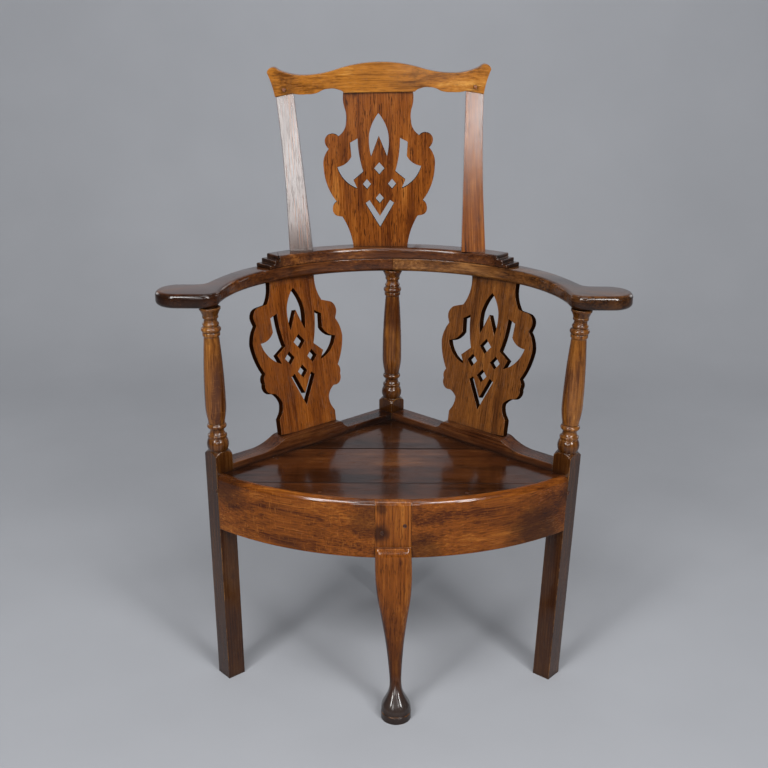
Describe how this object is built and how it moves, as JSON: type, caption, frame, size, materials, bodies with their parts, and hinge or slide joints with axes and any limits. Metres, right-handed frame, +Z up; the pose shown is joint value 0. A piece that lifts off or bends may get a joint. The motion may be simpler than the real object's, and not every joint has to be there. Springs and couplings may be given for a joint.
{
  "type": "corner armchair",
  "caption": "Corner armchair in oak: bowed seat front on a cabriole leg, turned posts under a curved arm rail, pierced splats and a high back above the rail.",
  "frame": {"origin": "on the floor, at the middle of the chair's bounding box in plan", "axes": "+Z up; the sitter faces -Y and +X is the sitter's left side, so the rear post is towards +Y"},
  "size_m": [0.846, 0.487, 1.1435],
  "materials": {
    "oak_posts": "old waxed oak, worn edges",
    "oak_rails": "old waxed oak, golden where worn",
    "oak_boards": "dark polished oak",
    "oak_arms": "dark polished oak, rubbed on top",
    "oak_splats": "straight-grained waxed oak, dark sawn edges",
    "oak_back": "polished golden-brown oak",
    "oak_hidden": "unpolished oak",
    "oak_pegs": "oak end grain"
  },
  "bodies": {
    "root": {"left_post": "oak_posts", "right_post": "oak_posts", "rear_post": "oak_posts", "front_leg": "oak_posts", "rear_rail_left": "oak_rails", "rear_rail_right": "oak_rails", "front_rail_left": "oak_rails", "front_rail_right": "oak_rails", "shoe_left": "oak_rails", "shoe_right": "oak_rails", "seat_board_rear": "oak_boards", "seat_board_middle": "oak_boards", "seat_board_front": "oak_boards", "cleat_left": "oak_hidden", "cleat_right": "oak_hidden", "splat_lower_left": "oak_splats", "splat_lower_right": "oak_splats", "arm_left": "oak_arms", "arm_right": "oak_arms", "crest_block": "oak_arms", "stile_left": "oak_back", "stile_right": "oak_back", "splat_upper": "oak_splats", "top_rail": "oak_back", "crest_dowels": "oak_hidden", "left_post_pegs": "oak_pegs", "right_post_pegs": "oak_pegs", "rear_post_pegs": "oak_pegs", "front_leg_pegs": "oak_pegs", "top_rail_pegs": "oak_pegs", "seat_pegs": "oak_pegs"}
  },
  "joints": []
}
